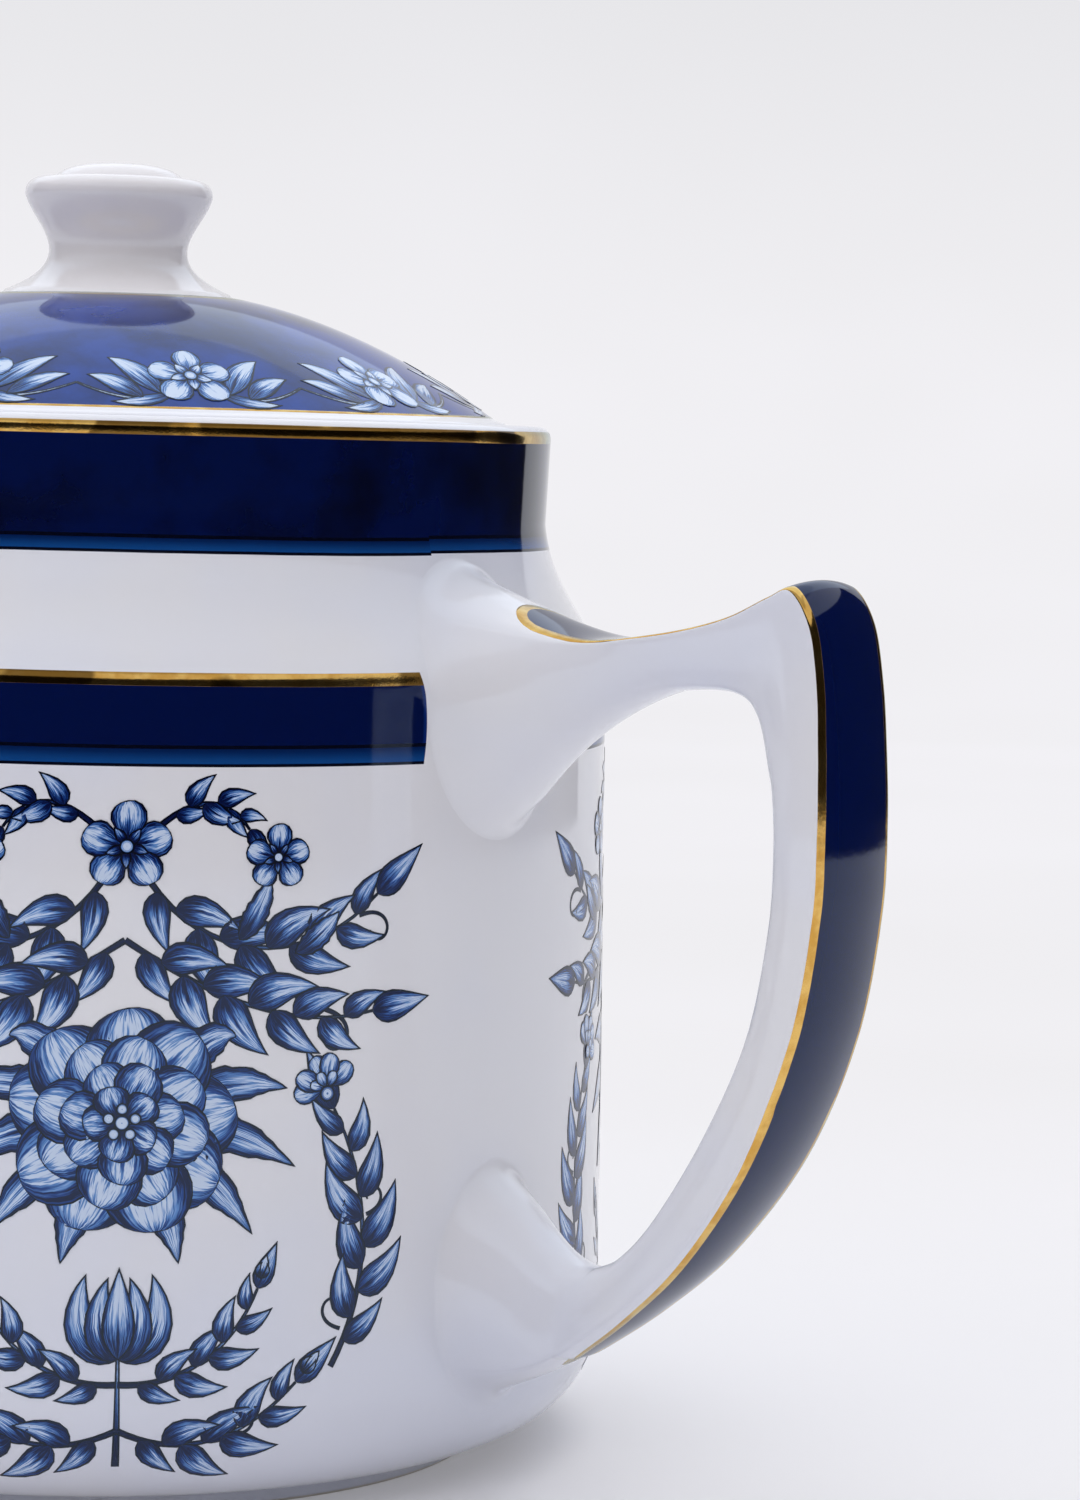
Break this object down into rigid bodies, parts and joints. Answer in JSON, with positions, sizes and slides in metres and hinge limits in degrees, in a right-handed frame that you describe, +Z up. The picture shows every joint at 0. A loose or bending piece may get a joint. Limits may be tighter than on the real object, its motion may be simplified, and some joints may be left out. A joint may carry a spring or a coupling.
{
  "type": "porcelain teapot",
  "caption": "Round porcelain teapot with a lidded collar, a squared loop handle, a curved spout and a domed lid with a flared knob.",
  "frame": {"origin": "centre of the foot ring's lower face, on the pot's axis", "axes": "+Z up along the pot's axis, +X from the axis to the handle, -X to the spout"},
  "size_m": [0.2358, 0.1322, 0.1655],
  "materials": {
    "porcelain": "gloss glaze, cobalt blue bands, gold lines and a blue print",
    "spout_porcelain": "gloss glaze with a gold line at the lip",
    "handle_porcelain": "gloss glaze with a cobalt blue stripe edged in gold",
    "lid_porcelain": "gloss cobalt blue glaze with a blue and white print and gold lines",
    "knob_porcelain": "gloss glaze with a gold line at the neck"
  },
  "bodies": {
    "pot": {"pot_body": "porcelain", "spout": "spout_porcelain", "handle": "handle_porcelain"},
    "lid": {"lid": "lid_porcelain", "lid_knob": "knob_porcelain"}
  },
  "joints": [
    {"name": "lid_lift", "type": "slide", "parent": "pot", "child": "lid", "axis": [0, 0, 1], "range_m": [0, 0.04]}
  ]
}
